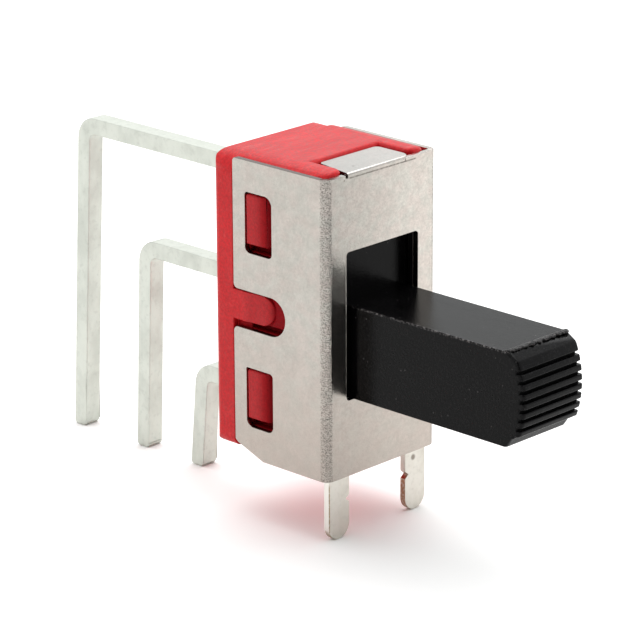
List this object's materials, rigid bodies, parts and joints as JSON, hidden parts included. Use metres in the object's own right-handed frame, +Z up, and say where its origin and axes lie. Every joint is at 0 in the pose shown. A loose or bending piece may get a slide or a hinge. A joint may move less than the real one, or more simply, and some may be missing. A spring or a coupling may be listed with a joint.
{
  "type": "slide switch",
  "caption": "Miniature right-angle slide switch with a red housing in a folded steel frame, a black slide bar, bent rear terminals and board legs.",
  "frame": {"origin": "middle of the bounding box's underside, level with the tips of the five legs", "axes": "-Y the way the slide bar points, +Z up along the slide bar's travel, X across the front panel"},
  "size_m": [0.0066, 0.0272, 0.0155],
  "materials": {
    "frame_steel": "tin-plated sheet, satin, lightly mottled",
    "housing_red": "moulded thermoset, satin",
    "bracket_tin": "tin-plated, copper-brown on the cut edges",
    "actuator_black": "satin black with light scuffs",
    "plunger_steel": "polished",
    "spring_steel": "drawn wire",
    "rocker_bronze": "plain sprung strip",
    "contact_silver": "silver, satin",
    "terminal_tin": "bright tin, satin",
    "seal_resin": "cast resin"
  },
  "bodies": {
    "case": {"steel_frame": "frame_steel", "housing": "housing_red", "support_bracket": "bracket_tin", "upper_terminal": "terminal_tin", "centre_terminal": "terminal_tin", "lower_terminal": "terminal_tin", "upper_contact": "contact_silver", "lower_contact": "contact_silver", "upper_seal": "seal_resin", "centre_seal": "seal_resin", "lower_seal": "seal_resin"},
    "slider": {"actuator": "actuator_black", "plunger_spring": "spring_steel"},
    "plunger_pin": {"plunger": "plunger_steel"},
    "seesaw": {"rocker": "rocker_bronze", "rocker_upper_button": "contact_silver", "rocker_lower_button": "contact_silver"}
  },
  "joints": [
    {"name": "actuator_slide", "type": "slide", "parent": "case", "child": "slider", "axis": [0, 0, 1], "range_m": [0, 0.00224]},
    {"name": "rocker_tilt", "type": "hinge", "parent": "case", "child": "seesaw", "pos_m": [0, -0.00111, 0.00911], "axis": [1, 0, 0], "range_deg": [-8, 0]},
    {"name": "plunger_slide", "type": "slide", "parent": "slider", "child": "plunger_pin", "axis": [0, 1, 0], "range_m": [-0.00025, 0], "stiffness_N_per_m": 300, "springref_m": 0.0003, "deforming": ["plunger_spring"]}
  ],
  "couplings": [
    {"joint": "rocker_tilt", "follows": "actuator_slide", "rad_per_m": -62.333}
  ]
}
